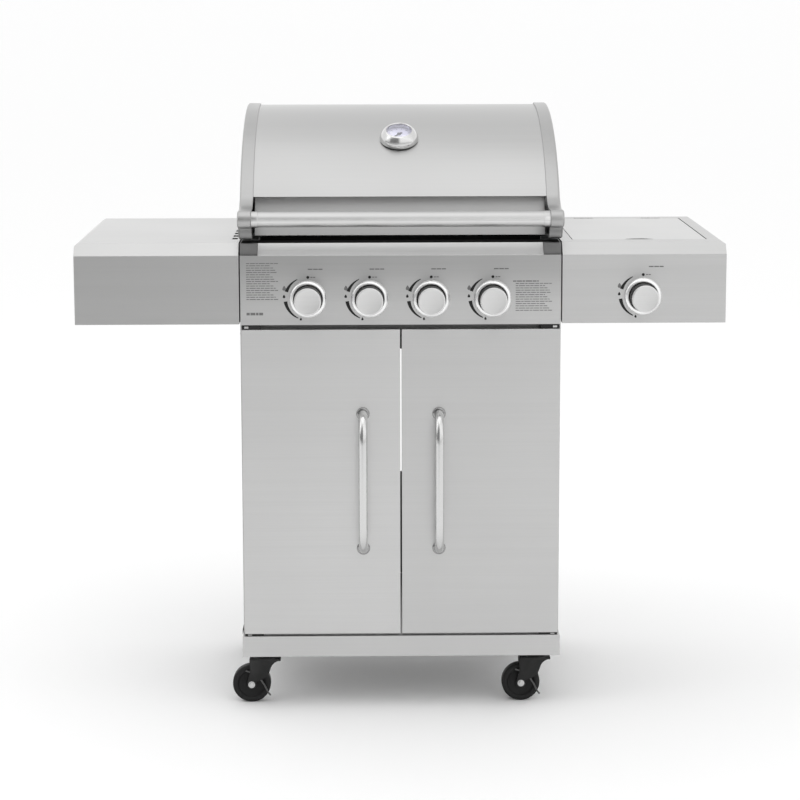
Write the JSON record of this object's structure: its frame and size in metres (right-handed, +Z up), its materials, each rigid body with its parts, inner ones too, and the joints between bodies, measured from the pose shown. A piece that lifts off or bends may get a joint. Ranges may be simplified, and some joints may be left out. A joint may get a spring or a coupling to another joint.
{
  "type": "gas barbecue grill",
  "caption": "Stainless steel gas barbecue on a wheeled two-door cabinet, with a domed hood, side tables and a lidded side burner.",
  "frame": {"origin": "on the ground under the middle of the grill's box", "axes": "+Z up, +X to the right seen from the front, the front faces -Y"},
  "size_m": [1.24, 0.53, 1.157],
  "materials": {
    "brushed_stainless": "fine horizontal brushing",
    "bright_steel": "polished, slightly satin",
    "satin_aluminium": "satin casting, brushed along its length",
    "dark_steel": "plain heat-darkened sheet",
    "black_iron": "enamelled cast iron",
    "yellow_brass": "turned and cast",
    "foil": "crimped foil",
    "needle_black": "matte",
    "black_enamel": "black stove enamel",
    "black_tyre": "hard black tread"
  },
  "bodies": {
    "cart": {"base_pan": "brushed_stainless", "left_side_panel": "brushed_stainless", "right_side_panel": "brushed_stainless", "lower_back_panel": "dark_steel", "upper_back_rail": "dark_steel", "front_top_rail": "brushed_stainless", "firebox": "dark_steel", "control_panel": "brushed_stainless", "gas_manifold": "yellow_brass", "burner_1": "dark_steel", "burner_2": "dark_steel", "burner_3": "dark_steel", "burner_4": "dark_steel", "flame_tamer_1": "dark_steel", "flame_tamer_2": "dark_steel", "flame_tamer_3": "dark_steel", "flame_tamer_4": "dark_steel", "left_cooking_grate": "black_iron", "right_cooking_grate": "black_iron", "warming_rack": "bright_steel", "left_table": "brushed_stainless", "right_table": "brushed_stainless", "side_burner_pan": "dark_steel", "side_burner": "yellow_brass", "side_burner_trivet": "black_iron"},
    "left_door": {"left_door": "brushed_stainless", "left_door_handle": "bright_steel"},
    "right_door": {"right_door": "brushed_stainless", "right_door_handle": "bright_steel"},
    "hood": {"hood_skin": "brushed_stainless", "hood_left_cap": "satin_aluminium", "hood_right_cap": "satin_aluminium", "hood_front_panel": "brushed_stainless", "hood_handle": "bright_steel", "thermometer_case": "bright_steel"},
    "thermometer_needle": {"thermometer_needle": "needle_black"},
    "side_burner_lid": {"side_burner_lid": "brushed_stainless"},
    "grease_tray": {"grease_tray": "brushed_stainless", "foil_drip_pan": "foil"},
    "valve_stem_1": {"valve_stem_1": "yellow_brass"},
    "knob_1": {"knob_1": "bright_steel"},
    "valve_stem_2": {"valve_stem_2": "yellow_brass"},
    "knob_2": {"knob_2": "bright_steel"},
    "valve_stem_3": {"valve_stem_3": "yellow_brass"},
    "knob_3": {"knob_3": "bright_steel"},
    "valve_stem_4": {"valve_stem_4": "yellow_brass"},
    "knob_4": {"knob_4": "bright_steel"},
    "side_burner_valve_stem": {"side_burner_valve_stem": "yellow_brass"},
    "side_burner_knob": {"side_burner_knob": "bright_steel"},
    "front_left_caster": {"front_left_caster_fork": "black_enamel"},
    "front_left_wheel": {"front_left_wheel": "black_tyre"},
    "front_left_brake": {"front_left_brake_lever": "bright_steel"},
    "front_right_caster": {"front_right_caster_fork": "black_enamel"},
    "front_right_wheel": {"front_right_wheel": "black_tyre"},
    "front_right_brake": {"front_right_brake_lever": "bright_steel"},
    "rear_left_caster": {"rear_left_caster_fork": "black_enamel"},
    "rear_left_wheel": {"rear_left_wheel": "black_tyre"},
    "rear_right_caster": {"rear_right_caster_fork": "black_enamel"},
    "rear_right_wheel": {"rear_right_wheel": "black_tyre"}
  },
  "joints": [
    {"name": "hood_hinge", "type": "hinge", "parent": "cart", "child": "hood", "pos_m": [0, 0.232, 0.938], "axis": [-1, 0, 0], "range_deg": [0, 90]},
    {"name": "left_door_hinge", "type": "hinge", "parent": "cart", "child": "left_door", "pos_m": [-0.3, -0.208, 0.45], "axis": [0, 0, -1], "range_deg": [0, 110]},
    {"name": "right_door_hinge", "type": "hinge", "parent": "cart", "child": "right_door", "pos_m": [0.3, -0.208, 0.45], "axis": [0, 0, 1], "range_deg": [0, 110]},
    {"name": "side_burner_lid_hinge", "type": "hinge", "parent": "cart", "child": "side_burner_lid", "pos_m": [0.46, 0.2305, 0.915], "axis": [-1, 0, 0], "range_deg": [0, 100]},
    {"name": "grease_tray_slide", "type": "slide", "parent": "cart", "child": "grease_tray", "axis": [0, 1, 0], "range_m": [0, 0.35]},
    {"name": "thermometer_needle_turn", "type": "hinge", "parent": "hood", "child": "thermometer_needle", "pos_m": [0, -0.02638, 1.09704], "axis": [0, 0.4636, -0.886], "range_deg": [0, 270], "stiffness_Nm_per_rad": 0.00002},
    {"name": "knob_1_push", "type": "slide", "parent": "cart", "child": "valve_stem_1", "axis": [0, 1, 0], "range_m": [0, 0.004], "stiffness_N_per_m": 900},
    {"name": "knob_1_turn", "type": "hinge", "parent": "valve_stem_1", "child": "knob_1", "pos_m": [-0.1765, -0.24, 0.808], "axis": [0, -1, 0], "range_deg": [0, 160]},
    {"name": "knob_2_push", "type": "slide", "parent": "cart", "child": "valve_stem_2", "axis": [0, 1, 0], "range_m": [0, 0.004], "stiffness_N_per_m": 900},
    {"name": "knob_2_turn", "type": "hinge", "parent": "valve_stem_2", "child": "knob_2", "pos_m": [-0.0593, -0.24, 0.808], "axis": [0, -1, 0], "range_deg": [0, 160]},
    {"name": "knob_3_push", "type": "slide", "parent": "cart", "child": "valve_stem_3", "axis": [0, 1, 0], "range_m": [0, 0.004], "stiffness_N_per_m": 900},
    {"name": "knob_3_turn", "type": "hinge", "parent": "valve_stem_3", "child": "knob_3", "pos_m": [0.0579, -0.24, 0.808], "axis": [0, -1, 0], "range_deg": [0, 160]},
    {"name": "knob_4_push", "type": "slide", "parent": "cart", "child": "valve_stem_4", "axis": [0, 1, 0], "range_m": [0, 0.004], "stiffness_N_per_m": 900},
    {"name": "knob_4_turn", "type": "hinge", "parent": "valve_stem_4", "child": "knob_4", "pos_m": [0.1751, -0.24, 0.808], "axis": [0, -1, 0], "range_deg": [0, 160]},
    {"name": "side_burner_knob_push", "type": "slide", "parent": "cart", "child": "side_burner_valve_stem", "axis": [0, 1, 0], "range_m": [0, 0.004], "stiffness_N_per_m": 900},
    {"name": "side_burner_knob_turn", "type": "hinge", "parent": "side_burner_valve_stem", "child": "side_burner_knob", "pos_m": [0.4615, -0.24, 0.811], "axis": [0, -1, 0], "range_deg": [0, 160]},
    {"name": "front_left_caster_swivel", "type": "hinge", "parent": "cart", "child": "front_left_caster", "pos_m": [-0.265, -0.165, 0.095], "axis": [0, 0, 1], "continuous": true},
    {"name": "front_left_wheel_spin", "type": "hinge", "parent": "front_left_caster", "child": "front_left_wheel", "pos_m": [-0.294, -0.165, 0.0375], "axis": [0, 1, 0], "continuous": true},
    {"name": "front_left_brake_press", "type": "hinge", "parent": "front_left_caster", "child": "front_left_brake", "pos_m": [-0.291, -0.165, 0.0585], "axis": [0, 1, 0], "range_deg": [0, 15]},
    {"name": "front_right_caster_swivel", "type": "hinge", "parent": "cart", "child": "front_right_caster", "pos_m": [0.265, -0.165, 0.095], "axis": [0, 0, 1], "continuous": true},
    {"name": "front_right_wheel_spin", "type": "hinge", "parent": "front_right_caster", "child": "front_right_wheel", "pos_m": [0.236, -0.165, 0.0375], "axis": [0, 1, 0], "continuous": true},
    {"name": "front_right_brake_press", "type": "hinge", "parent": "front_right_caster", "child": "front_right_brake", "pos_m": [0.239, -0.165, 0.0585], "axis": [0, 1, 0], "range_deg": [0, 15]},
    {"name": "rear_left_caster_swivel", "type": "hinge", "parent": "cart", "child": "rear_left_caster", "pos_m": [-0.265, 0.195, 0.095], "axis": [0, 0, 1], "continuous": true},
    {"name": "rear_left_wheel_spin", "type": "hinge", "parent": "rear_left_caster", "child": "rear_left_wheel", "pos_m": [-0.294, 0.195, 0.0375], "axis": [0, 1, 0], "continuous": true},
    {"name": "rear_right_caster_swivel", "type": "hinge", "parent": "cart", "child": "rear_right_caster", "pos_m": [0.265, 0.195, 0.095], "axis": [0, 0, 1], "continuous": true},
    {"name": "rear_right_wheel_spin", "type": "hinge", "parent": "rear_right_caster", "child": "rear_right_wheel", "pos_m": [0.236, 0.195, 0.0375], "axis": [0, 1, 0], "continuous": true}
  ]
}
